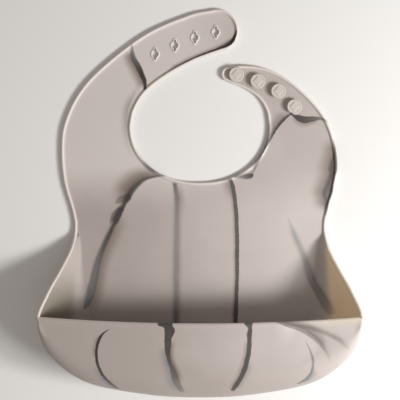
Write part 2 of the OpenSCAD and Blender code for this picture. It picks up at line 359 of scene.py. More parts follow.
class Skin:
    """Points and faces of the bib, in millimetres, with marks that its colour goes by."""

    def __init__(self):
        self.points = []
        self.marks = {name: [] for name in MARKS}
        self.faces = []

    def add(self, points, **marks):
        """Adds points with their marks, and returns their numbers."""
        start = len(self.points)
        points = np.asarray(points, float)
        self.points.extend(map(tuple, points))
        for name in MARKS:
            self.marks[name].extend(np.broadcast_to(marks.get(name, 0.0), len(points)).tolist())
        return np.arange(start, start + len(points))

    def grid(self, rows, closed=False, flip=False):
        """Quads between rows of point numbers."""
        n = len(rows[0])
        for a, b in zip(rows, rows[1:]):
            for k in range(n if closed else n - 1):
                m = (k + 1) % n
                quad = (a[k], a[m], b[m], b[k])
                self.faces.append(tuple(reversed(quad)) if flip else quad)


def hole_radius(angle, grow):
    """Radius of a slotted hole at an angle from its middle, grown by some width."""
    across, up = abs(math.cos(angle)), abs(math.sin(angle))
    half = SLOT_HALF + 0.55 * grow
    stem = SLOT_REACH + grow - half
    slot = half / max(across, 1e-6)
    if slot * up > stem:
        slot = stem * up + math.sqrt(max(half**2 - (stem * across) ** 2, 0))
    return max(HOLE_R + grow, slot)


def smoothed_ring(values, rounds):
    v = np.array(values, float)
    for _ in range(rounds):
        v = (np.roll(v, 1) + 2 * v + np.roll(v, -1)) / 4
    return v


def hole_rings(middle):
    """Rings of one hole from the sheet's front, over the eyelet and down to its back."""
    angles = np.radians(np.arange(0, 360, 1.5))
    inner = smoothed_ring([hole_radius(a, 0) for a in angles], 2)
    outer = smoothed_ring([hole_radius(a, EYELET_W) for a in angles], 8)
    top = SHEET + EYELET_H
    rings = [
        (outer + 0.7, SHEET), (outer + 0.25, SHEET + 0.02), (outer + 0.02, SHEET + 0.16),
        (outer - 0.05, top - 0.18), (outer - 0.2, top - 0.03), ((outer + inner) / 2, top),
        (inner + 0.18, top - 0.04), (inner + 0.04, top - 0.2), (inner, top - 0.6), (inner, 0.4),
        (inner + 0.12, 0.08), (inner + 0.4, 0.0), (outer + 0.7, 0.0),
    ]
    out = []
    for radius, z in rings:
        xy = np.stack([middle[0] + radius * np.cos(angles), middle[1] + radius * np.sin(angles)], 1)
        out.append(np.column_stack([xy, np.full(len(xy), z)]))
    return out


def fill_points(boundary, holes):
    """Even points inside a closed line and outside the holes, clear of both."""
    low, high = boundary.min(0), boundary.max(0)
    rows = np.arange(low[1], high[1], FACE_STEP * 0.87)    # about even triangles
    grid = []
    for k, y in enumerate(rows):
        shift = FACE_STEP / 2 * (k % 2)
        xs = np.arange(low[0] + shift, high[0], FACE_STEP)
        grid.append(np.column_stack([xs, np.full(len(xs), y)]))
    grid = np.concatenate(grid)
    inside = np.zeros(len(grid), bool)
    closed = np.concatenate([boundary, boundary[:1]])
    for (x1, y1), (x2, y2) in zip(closed, closed[1:]):
        if y1 == y2:
            continue
        crosses = (y1 > grid[:, 1]) != (y2 > grid[:, 1])
        inside ^= crosses & (grid[:, 0] < (x2 - x1) * (grid[:, 1] - y1) / (y2 - y1) + x1)
    grid = grid[inside]
    edge = np.concatenate([boundary] + holes)
    near = np.array([((edge - p) ** 2).sum(1).min() for p in grid])
    grid = grid[near > (0.55 * FACE_STEP) ** 2]
    for middle in HOLES:
        away = np.linalg.norm(grid - middle, axis=1)
        grid = grid[away > SLOT_REACH + EYELET_W + 0.6]
    return grid


def dent_front(surface):
    """Two folds that fan out from the lip near the right corner of the front wall."""
    x, y, z = surface[..., 0], surface[..., 1], surface[..., 2]
    wall = smooth(z, 26, 40) * (1 - smooth(y, -89.5, -86.8)) * smooth(x, 40, 50)
    low = [
        (53.5, -85.6), (63.4, -89.5), (70.5, -92.3), (77.5, -96.5), (84.5, -102.5), (88.1, -107.1),
        (91.6, -115.5),
    ]
    high = [(58, -86), (70.5, -89.6), (79, -92), (88.1, -95.4), (95.1, -98.8), (102.2, -103.2), (106, -107)]
    depth = fold(x, y, low, 2.8, 7, 4.2) + fold(x, y, high, 2.3, 5, 4)
    surface[..., 2] = z - wall * depth


def in_hole(p):
    for middle in HOLES:
        d = np.array(p) - middle
        r = np.hypot(*d)
        if r < SLOT_REACH + EYELET_W + 1.5:
            angle = math.atan2(d[1], d[0])
            if r < hole_radius(angle, EYELET_W) + 0.5:
                return True
    return False


def wing_glow(points):
    """How much light comes through a wing at each point, scattered in the skin and as a painted warm glow;
    the right wing has its back to the key light.
    """
    x, y, z = points[..., 0], points[..., 1], points[..., 2]
    wing = smooth(z, 0.9, 12) * smooth(y, -108, -84) * smooth(-y, 22, 40)
    return wing * (smooth(x, 82, 92) + 0.1 * smooth(-x, 82, 92))


def corner_dullness(points):
    """How much painted shade each point takes, down in the left corner of the pocket."""
    x, y, z = points[..., 0], points[..., 1], points[..., 2]
    return smooth(-x, 84, 96) * smooth(-y, 46, 76) * smooth(z, 0.9, 8) * smooth(y, -100, -88)


def pocket_grids():
    """Points by station: rows across the pocket's middle surface, and rows of the rim's profile."""
    rim_distances = np.array(RIM_PROFILE)[:, 0]
    rows = np.linspace(0, 1, WALL_ROWS)
    middle, rim = [], []
    for path in pocket_paths():
        full = length(path)
        middle.append(at_distance(path, rows * (full - RIM_REACH)))
        rim.append(at_distance(path, full - rim_distances))
    middle, rim = np.array(middle), np.array(rim)
    round_corners(middle, rim)
    return middle, rim


def pocket_normals(middle, rim):
    """Directions that point into the pocket, at the rows of its middle surface and of its rim."""
    surface = np.concatenate([middle, rim[:, 1:EDGE_ROW + 1]], axis=1)
    normal = unit(np.cross(np.gradient(surface, axis=1), np.gradient(surface, axis=0)))
    for on_panel in (normal[:, 0], normal[0], normal[-1]):
        on_panel[...] = (0, 0, 1)
    for _ in range(NORMAL_ROUNDS):
        normal[1:-1, 1:] = unit(normal[:-2, 1:] + 2 * normal[1:-1, 1:] + normal[2:, 1:])
    distances = np.array(RIM_PROFILE)[:, 0]
    nearest = [int(np.argmin(abs(distances[:EDGE_ROW + 1] - d))) for d in distances]
    to_edge = normal[:, WALL_ROWS - 1:]
    return normal[:, :WALL_ROWS], to_edge[:, nearest]


def front_mark(points):
    """How far each point belongs to the front wall: none on the panel and the wings, all on top."""
    margin = 8
    station = np.arange(len(points))
    from_end = np.minimum(station, len(points) - 1 - station)
    return smooth(points[..., 2], 8, 26) * (from_end > CORNER - margin)[:, None]


def flat_mesh(boundary, loops):
    """Triangles inside a closed line and outside the holes: points in plan, and corners by number."""
    points = np.concatenate([boundary] + loops + [fill_points(boundary, loops)])
    edges = []
    start = 0
    for loop in [boundary] + loops:
        n = len(loop)
        edges += [(start + k, start + (k + 1) % n) for k in range(n)]
        start += n
    result = delaunay_2d_cdt([Vector(p) for p in points], edges, [], 1, 1e-5)
    flat = np.array([tuple(v) for v in result[0]])
    faces = [face for face in result[2] if not in_hole(flat[list(face)].mean(0))]
    return flat, faces


def add_flat_sheet(skin, boundary):
    """Front and back of the flat sheet, and the walls of its holes."""
    rings = [hole_rings(m) for m in HOLES]
    flat, faces = flat_mesh(boundary, [ring[0][:, :2] for ring in rings])
    for z, flip in ((SHEET, False), (0.0, True)):
        numbers = skin.add(np.column_stack([flat, np.full(len(flat), z)]))
        for face in faces:
            corners = [numbers[k] for k in face]
            skin.faces.append(tuple(reversed(corners)) if flip else tuple(corners))
    for ring in rings:
        # the raised eyelets take the pale colour, partly a painted highlight
        rows = [skin.add(r, pale=float(r[0, 2] > SHEET + 0.1)) for r in ring]
        skin.grid(rows, closed=True)


def build_skin():
    """The whole skin: the rim all round, both faces of the pocket, and the flat sheet."""
    skin = Skin()
    edge = flat_edge()
    inward = flat_inward(edge)
    middle, rim = pocket_grids()
    normal, rim_normal = pocket_normals(middle, rim)
    distances, flat_heights, pocket_heights = np.array(RIM_PROFILE).T

    # The rim leaves the back of the sheet only where the pocket has risen
    inner = middle + MID * normal
    outer = middle - MID * normal
    risen = smooth(-rim[:, -1, 1], *RIM_RISE)[:, None]
    heights = flat_heights + risen * (pocket_heights - flat_heights)
    rim_points = rim + (heights - MID)[..., None] * rim_normal
    for surface in (inner, outer, rim_points):
        dent_front(surface)

    # Rim of the flat sheet, then of the pocket, as one closed ring of columns
    # rows of the rim that take the pale colour, partly a painted highlight
    pale = np.interp(np.arange(len(RIM_PROFILE)), PALE_ROWS, (0, 1, 1, 0))
    rim_front = front_mark(rim)
    rim_glow = RIM_GLOW * wing_glow(rim)
    columns = []
    for p, n in zip(edge, inward):
        xy = p + distances[:, None] * n
        columns.append(skin.add(np.column_stack([xy, flat_heights]), pale=pale))
    for i in range(len(rim) - 2, 0, -1):
        columns.append(skin.add(rim_points[i], front=rim_front[i], pale=pale, glow=rim_glow[i]))
    skin.grid(columns + [columns[0]])

    # Pocket, inner and outer face
    front = front_mark(middle)
    # the inner face carries the wing glow, partly painted, and the painted corner shade
    inner_marks = zip(inner, front, wing_glow(middle), corner_dullness(middle))
    inner_rows = [skin.add(row, front=f, glow=g, dull=d) for row, f, g, d in inner_marks]
    outer_rows = [skin.add(row, front=f) for row, f in zip(outer, front)]
    skin.grid(inner_rows)
    skin.grid(outer_rows, flip=True)

    add_flat_sheet(skin, np.concatenate([
        edge + RIM_REACH * inward,
        middle[-1, -2:0:-1, :2],
        middle[::-1, 0, :2],
        middle[0, 1:-1, :2],
    ]))
    return skin


def skin_mesh(skin):
    """The whole skin as one bmesh in metres, with its marks stored."""
    bm = bmesh.new()
    layers = [bm.verts.layers.float.new(name) for name in MARKS]
    verts = [bm.verts.new([c * MM for c in p]) for p in skin.points]
    for layer, name in zip(layers, MARKS):
        for v, value in zip(verts, skin.marks[name]):
            v[layer] = value
    for face in skin.faces:
        corners = [verts[k] for k in face]
        if len(set(corners)) > 2:
            try:
                bm.faces.new(corners)
            except ValueError:
                pass    # this face is already there
    bmesh.ops.remove_doubles(bm, verts=bm.verts, dist=2e-6)
    bmesh.ops.recalc_face_normals(bm, faces=bm.faces)
    return bm


def strap_side(x, y):
    """-1 on the left strap, 1 on the right strap, 0 below both, in millimetres."""
    if y < STRAPS_FROM:
        return 0
    if x < RIGHT_STRAP[0] or y > RIGHT_STRAP[1]:
        return -1
    return 1


def zone_way(zone):
    """Direction straight across a bending zone, towards the strap's tip."""
    a = math.radians(ZONES[zone][1])
    return Vector((-math.sin(a), math.cos(a), 0))


def zone_place(zone, x, y):
    """Distance past the middle of a bending zone towards the strap's tip."""
    (cx, cy), angle, *_ = ZONES[zone]
    a = math.radians(angle)
    return -(x - cx) * math.sin(a) + (y - cy) * math.cos(a)


def piece_at(x, y):
    """Name of the piece of skin at a place on the flat sheet."""
    if zone_place("waist", x, y) < -ZONES["waist"][2]:
        return "pocket_skin"
    if zone_place("waist", x, y) < ZONES["waist"][2]:
        return "waist_skin"
    side = strap_side(x, y)
    names = {-1: LEFT_ZONES, 1: RIGHT_ZONES}.get(side, [])
    rigid = "chest_skin"
    for zone in names:
        place = zone_place(zone, x, y)
        half = ZONES[zone][2]
        if place < -half:
            return rigid
        if place < half:
            return zone + "_skin"
        rigid = ZONES[zone][4] + "_skin"
    return rigid


def cut_at_zones(bm):
    """Cuts the skin along both ends of every bending zone."""
    for name, ((cx, cy), _, half, *_) in ZONES.items():
        normal = zone_way(name)
        side = 0 if name == "waist" else (-1 if name in LEFT_ZONES else 1)
        for sign in (-1, 1):
            point = Vector((cx * MM, cy * MM, 0)) + normal * (sign * half * MM)
            faces = []
            for f in bm.faces:
                c = f.calc_center_median() / MM
                if side == 0:
                    reached = abs(c.x) < WAIST_CUT[0] and abs(c.y - point.y / MM) < WAIST_CUT[1]
                else:
                    reached = strap_side(c.x, c.y) == side
                if reached:
                    faces.append(f)
            verts = {v for f in faces for v in f.verts}
            edges = {e for f in faces for e in f.edges}
            geometry = list(verts) + list(edges) + faces
            bmesh.ops.bisect_plane(bm, geom=geometry, dist=1e-7, plane_co=point, plane_no=normal)


def store_mark(mesh, name, values):
    data = mesh.attributes.new(name, "FLOAT", "POINT").data
    data.foreach_set("value", np.array(values, np.float32))


def store_rest(mesh):
    """Keeps each point's place at rest, in millimetres, for the textures."""
    rest = mesh.attributes.new("rest_co", "FLOAT_VECTOR", "POINT")
    rest.data.foreach_set("vector", np.array([v.co / MM for v in mesh.vertices], np.float32).ravel())


def split_skin(bm, material):
    """One mesh object for each piece of skin."""
    groups = {}
    for f in bm.faces:
        c = f.calc_center_median() / MM
        groups.setdefault(piece_at(c.x, c.y), []).append(f)
    objects = {}
    for name, faces in groups.items():
        verts = sorted({v for f in faces for v in f.verts}, key=lambda v: v.index)
        number = {v: k for k, v in enumerate(verts)}
        mesh = bpy.data.meshes.new(name)
        mesh.from_pydata([v.co for v in verts], [], [[number[v] for v in f.verts] for f in faces])
        for mark in MARKS:
            layer = bm.verts.layers.float[mark]
            store_mark(mesh, mark, [v[layer] for v in verts])
        store_rest(mesh)
        mesh.shade_smooth()
        mesh.materials.append(material)
        objects[name] = add_object(name, mesh)
    return objects


# ---------------------------------------------------------------- studs
def stud_height(r, angle):
    """Height of the head's top face above the plain disc at this place: a lip, and a raised diamond."""
    power = 0.82    # below 1 the diamond's sides curve in
    x, y = abs(r * math.cos(angle)), abs(r * math.sin(angle))
    diamond = (x**power + y**power) ** (1 / power)
    raised = 1 - smooth(diamond, 3.75, 4.3)
    groove = math.exp(-(((diamond - 4.4) / 0.3) ** 2))
    lip = math.exp(-(((r - 4.95) / 0.25) ** 2))
    return 0.34 * float(raised) - 0.12 * groove + 0.16 * lip


def stud(name, place, material):
    """A mushroom stud: stem with a foot fillet, and a rounded head."""
    base = SHEET + STEM_H
    top = base + HEAD_H
    profile = [
        (3.6, SHEET - 0.02), (3.15, SHEET + 0.12), (2.85, SHEET + 0.4), (STEM_R, SHEET + 0.9),
        (STEM_R, base - 0.35), (2.85, base - 0.08), (3.2, base), (4.6, base + 0.02), (5.15, base + 0.1),
        (5.45, base + 0.35), (HEAD_R, base + 0.75), (5.54, top - 0.4), (5.42, top - 0.16),
    ]
    angles = [2 * math.pi * k / STUD_TURNS for k in range(STUD_TURNS)]
    rings = [[(r, a, z) for a in angles] for r, z in profile]
    for r in np.linspace(5.25, 0.15, 34):
        rings.append([(r, a, top - 0.02 + stud_height(r, a)) for a in angles])
    bm = bmesh.new()
    rows = []
    for ring in rings:
        rows.append([bm.verts.new((r * math.cos(a), r * math.sin(a), z)) for r, a, z in ring])
    for a, b in zip(rows, rows[1:]):
        for k in range(STUD_TURNS):
            m = (k + 1) % STUD_TURNS
            bm.faces.new((a[k], a[m], b[m], b[k]))
    bm.faces.new(rows[-1])
    bm.faces.new(list(reversed(rows[0])))
    bmesh.ops.transform(bm, matrix=Matrix.Scale(MM, 4), verts=bm.verts)
    bmesh.ops.translate(bm, vec=(place[0] * MM, place[1] * MM, 0), verts=bm.verts)
    mesh = bpy.data.meshes.new(name)
    bm.to_mesh(mesh)
    bm.free()
    store_rest(mesh)
    # the stud takes half of the rims' pale colour, with its painted highlight
    store_mark(mesh, "pale", [0.5] * len(mesh.vertices))
    mesh.shade_smooth()
    mesh.materials.append(material)
    return add_object(name, mesh)


# ---------------------------------------------------------------- materials
class Nodes:
    """Short calls for building a node tree."""

    def __init__(self, tree):
        self.tree = tree

    def new(self, kind, **settings):
        node = self.tree.nodes.new(kind)
        for key, value in settings.items():
            setattr(node, key, value)
        return node

    def put(self, socket, value):
        if isinstance(value, bpy.types.NodeSocket):
            self.tree.links.new(value, socket)
        else:
            socket.default_value = value

    def attribute(self, name, output):
        return self.new("ShaderNodeAttribute", attribute_type="GEOMETRY", attribute_name=name).outputs[output]

    def math(self, operation, a, b=0.0, c=0.0, clamp=False):
        node = self.new("ShaderNodeMath", operation=operation, use_clamp=clamp)
        for socket, value in zip(node.inputs, (a, b, c)):
            self.put(socket, value)
        return node.outputs[0]

    def ramp(self, value, low, high, to_low=0.0, to_high=1.0):
        node = self.new("ShaderNodeMapRange", interpolation_type="SMOOTHSTEP")
        for socket, item in zip(node.inputs, (value, low, high, to_low, to_high)):
            self.put(socket, item)
        return node.outputs[0]

    def noise(self, vector, scale, detail=2.0, roughness=0.5):
        node = self.new("ShaderNodeTexNoise")
        self.put(node.inputs["Vector"], vector)
        self.put(node.inputs["Scale"], scale)
        self.put(node.inputs["Detail"], detail)
        self.put(node.inputs["Roughness"], roughness)
        return node.outputs["Fac"]

    def curve(self, value, points):
        node = self.new("ShaderNodeFloatCurve")
        curve = node.mapping.curves[0]
        while len(curve.points) < len(points):
            curve.points.new(0.5, 0.5)
        for point, (x, y) in zip(curve.points, sorted(points)):
            point.location = (x, y)
            point.handle_type = "AUTO"
        node.mapping.use_clip = False
        node.mapping.update()
        self.put(node.inputs["Value"], value)
        return node.outputs[0]

    def steps(self, value, heights):
        """A curve from 0 to 1 through evenly spaced heights."""
        return self.curve(value, [(k / (len(heights) - 1), h) for k, h in enumerate(heights)])

    def mix(self, factor, a, b):
        node = self.new("ShaderNodeMix", data_type="RGBA")
        self.put(node.inputs["Factor"], factor)
        self.put(node.inputs["A"], a)
        self.put(node.inputs["B"], b)
        return node.outputs["Result"]


def srgb(r, g, b):
    """Linear colour from 0 to 255 sRGB values."""
    out = []
    for v in (r, g, b):
        v /= 255
        out.append(v / 12.92 if v <= 0.04045 else ((v + 0.055) / 1.055) ** 2.4)
    return (*out, 1.0)


class Vein(NamedTuple):
    """A vein of darker pigment; a few are strokes of painted shade instead. Two values stand for its start
    and its end, or for its right and its left.
    """

    points: list            # (x, y, half width) in millimetres
    blur: tuple             # width of the soft edge on the right and on the left
    strength: tuple         # evenly spaced from the start to the end
    cool: tuple             # bluish rather than brown, evenly spaced from the start to the end
    stains_and_shades: tuple = ()      # (side, width, tint, strength, from, to); side is 1 on the left of its way


PANEL_VEINS = [
    Vein(  # across the left strap
        points=[
            (-51.3, 117, 0.5), (-50.2, 108, 1.7), (-46.8, 101, 2.1), (-43.8, 94.5, 1.9),
            (-41.6, 88.5, 1.4), (-41.6, 82.5, 0.9),
        ],
        blur=(1.6, 1.0), strength=(0.45, 0.85, 1.0, 1.0), cool=(0.2, 0.1),
        stains_and_shades=((-1, 8, "brown", 1.0, 0.15, 0.95),),
    ),
    Vein(  # down the left side, from the neck to the pocket
        points=[
            (-17, 18.3, 0.3), (-27, 18.4, 0.5), (-36, 17.2, 0.9), (-41.4, 15.6, 1.2),
            (-46, 12.6, 1.6), (-50.5, 8, 2.0), (-54.2, 2.2, 2.2), (-57, -3, 1.5), (-60.2, -9, 2.2),
            (-63, -14.3, 2.5), (-65.6, -19.8, 1.4), (-68, -24.8, 1.6), (-70.9, -31, 1.9),
            (-73.4, -37, 2.0), (-76, -43.5, 2.4), (-77.9, -50, 2.7), (-79.3, -57, 3.0),
            (-80.6, -63.5, 3.2), (-82.3, -69, 3.2), (-84, -75, 2.9), (-86, -80, 1.6),
            (-88, -83, 0.2),
        ],
        blur=(3.0, 1.8), strength=(0.1, 0.88, 0.95, 0.84, 0.78, 0.72),
        cool=(0.0, 0.1, 0.0, 0.3, 0.9, 0.6),
        stains_and_shades=((-1, 16, "brown", 1.2, 0.04, 0.36), (1, 10, "brown", 0.9, 0.42, 1.0)),
    ),
    Vein(  # upper lobe beside it
        points=[(-52.5, 3, 2.0), (-57, 1.2, 2.7), (-61, -0.6, 2.0), (-63.8, -2.8, 0.3)],
        blur=(2.4, 0.9), strength=(0.75, 0.4), cool=(0.1, 0.1),
    ),
    Vein(  # lower lobe beside it
        points=[(-58.5, -6, 2.0), (-62.8, -9.6, 2.3), (-66, -13.5, 1.6), (-67.8, -18, 0.3)],
        blur=(2.2, 0.9), strength=(0.85, 0.5), cool=(0.1, 0.1),
    ),
    Vein(  # left of the middle
        points=[
            (-19.2, 13.5, 1.1), (-18.3, 7, 1.35), (-17.8, 0, 1.2), (-17.8, -22.6, 1.3),
            (-18, -45, 1.4), (-18.2, -67.7, 1.5), (-18, -92, 1.6), (-17.8, -112, 0.6),
        ],
        blur=(2.6, 3.4), strength=(1.0, 0.62, 0.5, 0.5, 0.52, 0.55, 0.62, 0.78, 0.9),
        cool=(0.2, 0.8, 0.7, 0.3),
        stains_and_shades=(
            (-1, 3.6, "blue", 0.5, 0.1, 1.0),
            (1, 4.4, "brown", 0.45, 0.15, 1.0),
            (1, 7, "brown", 0.8, 0.03, 0.2),
        ),
    ),
    Vein(  # right of the middle
        points=[
            (22.4, 16.5, 1.2), (25.2, 8, 1.4), (27.2, -7.5, 1.35), (27.9, -30, 1.45),
            (28, -52.6, 1.4), (27.3, -75.2, 1.4), (26.8, -92, 1.5), (26, -112, 0.4),
        ],
        blur=(1.1, 0.4), strength=(0.88, 0.9), cool=(0.35, 0.2),
        stains_and_shades=((-1, 2.6, "brown", 0.6, 0.0, 1.0), (-1, 8, "brown", 0.9, 0.0, 0.14)),
    ),
    Vein(  # down the right side
        points=[
            (66.2, -13.2, 0.4), (71.7, -28, 1.1), (78.2, -42.9, 1.6), (83.9, -59.5, 2.5),
            (88.5, -68, 2.9), (93.5, -77, 3.1), (99, -86, 2.8),
        ],
        blur=(1.9, 1.9), strength=(0.2, 0.22, 0.32, 0.5, 0.3), cool=(1.0, 0.45),
        stains_and_shades=((1, 3, "blue", 0.5, 0.1, 1.0), (-1, 3, "blue", 0.4, 0.1, 0.7)),
    ),
    Vein(  # across the right strap, below the studs
        points=[
            (67.5, 65, 0.3), (70.5, 63.4, 0.9), (74.8, 61.4, 2.4), (80.3, 60.3, 2.6),
            (85.9, 60.8, 1.9), (90.2, 61.0, 1.0), (94.5, 59.2, 0.8), (99, 55.5, 0.3),
        ],
        blur=(0.6, 0.5), strength=(0.95, 0.95, 0.85, 0.6, 0.0), cool=(0.35, 0.1),
        stains_and_shades=((-1, 4.5, "brown", 0.6, 0.1, 0.7),),
    ),
    Vein(  # along the neck, from the studs to the chest
        points=[
            (69, 65.5, 0.5), (63.5, 61, 0.9), (58.8, 55.5, 1.0), (55, 50, 0.95), (51, 43, 0.9),
            (46.6, 35.3, 0.8), (42.9, 27.8, 0.8), (39.6, 19.5, 0.4),
        ],
        blur=(2.6, 0.4), strength=(1.0, 0.9, 0.5), cool=(0.1, 0.3),
        stains_and_shades=((-1, 9, "brown", 0.8, 0.05, 0.95),),
    ),
    Vein(  # painted shade down the inside of the right edge, where the rim's shadow falls
        points=[
            (101.5, 46, 0.3), (102, 34, 1.8), (100.5, 24, 3.2), (99.5, 19, 2.2), (97.5, 12, 2.4),
            (96, 6, 3.4), (95.5, 0, 1.8), (94.5, -12, 0.5),
        ],
        blur=(3.4, 1), strength=(0.5, 0.8, 0.75, 0.5), cool=(0.0, 0.1),
        stains_and_shades=((-1, 12, "brown", 0.9, 0.05, 0.95),),
    ),
    Vein(  # along the inner edge of the left strap's tip
        points=[
            (27.6, 128.5, 0.3), (26.4, 124.2, 1.2), (24, 119.4, 1.7), (20.3, 116.6, 1.5),
            (15.6, 114.5, 1.1), (2.8, 109.7, 0.7), (-10.2, 104.1, 0.6), (-23.3, 97.3, 0.4),
            (-29.8, 92.4, 0.2),
        ],
        blur=(0.9, 0.4), strength=(1.0, 0.9, 0.6, 0.3), cool=(0.2, 0.0),
        stains_and_shades=((-1, 2.8, "brown", 0.7, 0.1, 0.9),),
    ),
    Vein(  # soft shade under the neck
        points=[
            (-20, 18.5, 0.6), (-30, 21.6, 2.0), (-38, 25.4, 2.4), (-44, 31.5, 1.4), (-49, 39, 0.4),
        ],
        blur=(3, 3), strength=(0.2, 0.6, 0.7, 0.3, 0.0), cool=(0.0, 0.0),
    ),
    Vein(  # painted shade left of the neck, where the shadow of the neck's rim falls
        points=[(-45, 86, 0.5), (-53.5, 73, 1.5), (-56, 60, 1.6), (-55, 44, 1.0), (-50, 30, 0.5)],
        blur=(6, 2.5), strength=(0.0, 0.4, 0.36, 0.2, 0.0), cool=(0.0, 0.0),
    ),
    Vein(  # short one under the neck on the right
        points=[(40.2, 19, 0.8), (37, 17.8, 1.8), (31.5, 17.4, 1.3), (25, 17.2, 0.3)],
        blur=(1.0, 1.4), strength=(1.0, 0.7, 0.3), cool=(0.2, 1.0),
        stains_and_shades=((-1, 3, "brown", 0.6, 0.0, 1.0),),
    ),
]
FRONT_VEINS = [
    Vein(  # left arc
        points=[
            (-62.3, -90.6, 0.2), (-66.6, -92.6, 0.8), (-69.8, -96, 1.05), (-72, -101.6, 1.0),
            (-72.9, -107.9, 1.0), (-72.6, -114, 1.0), (-70.9, -119.2, 1.0), (-68.3, -124.4, 1.1),
            (-64.4, -129.1, 1.3), (-58.5, -135, 1.3),
        ],
        blur=(0.5, 0.5), strength=(1.0, 1.0, 0.9, 0.6), cool=(0.0, 0.0, 0.2),
        stains_and_shades=((-1, 3.2, "brown", 0.7, 0.1, 0.45), (-1, 5, "blue", 0.9, 0.6, 1.0)),
    ),
    Vein(  # left of the middle
        points=[
            (-24, -85.2, 6.4), (-23.6, -87.4, 5.6), (-22.3, -89.6, 3.3), (-21.5, -92, 3.8),
            (-21.8, -95.1, 3.4), (-22.8, -98.6, 2.5), (-22.6, -102.2, 2.5), (-22.9, -105.7, 2.0),
            (-22.4, -109.9, 1.5), (-21.4, -114.1, 1.4), (-19.7, -118.4, 1.7), (-18.2, -123.3, 2.4),
            (-16.9, -127.5, 2.5), (-14.8, -132, 2.1), (-12, -137, 1.2),
        ],
        blur=(0.4, 0.4), strength=(0.95, 0.9, 0.6, 0.35), cool=(0.05, 0.1),
        stains_and_shades=((-1, 7, "blue", 0.9, 0.35, 1.0), (1, 4, "brown", 0.9, 0.3, 0.85)),
    ),
    Vein(  # right of the middle
        points=[
            (33.5, -85.2, 4.0), (34.3, -88.6, 2.6), (35.3, -90.9, 1.5), (34.9, -94, 1.75),
            (34.8, -98.6, 1.6), (34.5, -105.7, 1.6), (34, -109.9, 1.55), (33, -114.1, 1.6),
            (31.7, -118.4, 1.7), (29.9, -122.6, 1.75), (28, -126.8, 1.7), (25.7, -131, 1.7),
            (22.6, -136, 1.3),
        ],
        blur=(0.9, 0.35), strength=(0.9, 0.82), cool=(0.1, 0.0),
        stains_and_shades=((-1, 3.5, "brown", 0.6, 0.3, 1.0), (1, 4.5, "blue", 0.7, 0.55, 1.0)),
    ),
    Vein(  # right arc
        points=[
            (74.2, -99.5, 0.15), (76.4, -103.6, 0.5), (78.2, -107.8, 0.8), (79.5, -112.7, 0.95),
            (79.5, -117, 0.95), (78.5, -121.2, 1.0), (76.8, -124.7, 1.2), (74, -127.9, 1.3),
            (68.5, -131, 0.6),
        ],
        blur=(0.7, 0.45), strength=(0.45, 0.6), cool=(0.35, 0.5),
        stains_and_shades=((1, 5, "blue", 0.8, 0.6, 1.0),),
    ),
    Vein(  # painted shade on the dark side of the lower fold
        points=[
            (53.5, -85.6, 0.3), (63.4, -89, 1.3), (70.5, -91.3, 1.6), (77.5, -95.3, 1.5),
            (84.5, -101.3, 1.2), (88.8, -106.8, 0.9), (92.5, -115.5, 0.3),
        ],
        blur=(0.4, 3.5), strength=(0.6, 0.6, 0.45, 0.3, 0.1), cool=(0.4, 0.2),
        stains_and_shades=((1, 8, "brown", 0.7, 0.0, 0.8),),
    ),
    Vein(  # painted shade on the dark side of the upper fold
        points=[
            (58, -86, 0.2), (70.5, -89, 0.8), (79, -91.2, 1.0), (88.1, -94.6, 1.0),
            (95.1, -98, 0.9), (102.2, -102.4, 0.7), (106, -107, 0.2),
        ],
        blur=(1.2, 2.5), strength=(0.4, 0.4, 0.25, 0.15), cool=(0.3, 0.2),
        stains_and_shades=((1, 3.5, "brown", 0.5, 0.0, 0.9),),
    ),
]
OFFSET_SPAN = 80.0   # sideways offset, in millimetres, that a curve's 0 to 1 stands for
WIDTH_SPAN = 8.0
DARK_BROWN = (60, 53, 50)
DARK_BLUE = (92, 95, 98)
STAIN_AND_SHADE_TINTS = {"brown": (112, 97, 86), "blue": (132, 136, 140)}


def vein_field(n, place, wobble, vein):
    """Place along a vein from 0 to 1, distance past its middle to the left, and half width there."""
    (x0, y0, _), (x1, y1, _) = vein.points[0], vein.points[-1]
    span = math.hypot(x1 - x0, y1 - y0)
    ux, uy = (x1 - x0) / span, (y1 - y0) / span
    centre, width = [], []
    for x, y, half in vein.points:
        along = ((x - x0) * ux + (y - y0) * uy) / span
        centre.append((along, 0.5 + ((y - y0) * ux - (x - x0) * uy) / OFFSET_SPAN))
        width.append((along, half / WIDTH_SPAN))
    px, py = place
    from_start = n.math("MULTIPLY_ADD", py, uy / span, -(x0 * ux + y0 * uy) / span)
    s = n.math("MULTIPLY_ADD", px, ux / span, from_start)
    across = n.math("MULTIPLY_ADD", px, -uy, n.math("MULTIPLY_ADD", py, ux, x0 * uy - y0 * ux))
    middle = n.math("MULTIPLY_ADD", n.curve(s, centre), OFFSET_SPAN, -OFFSET_SPAN / 2)
    half = n.math("MAXIMUM", n.math("MULTIPLY", n.curve(s, width), WIDTH_SPAN), 0.02)
    return s, n.math("SUBTRACT", n.math("ADD", across, wobble), middle), half


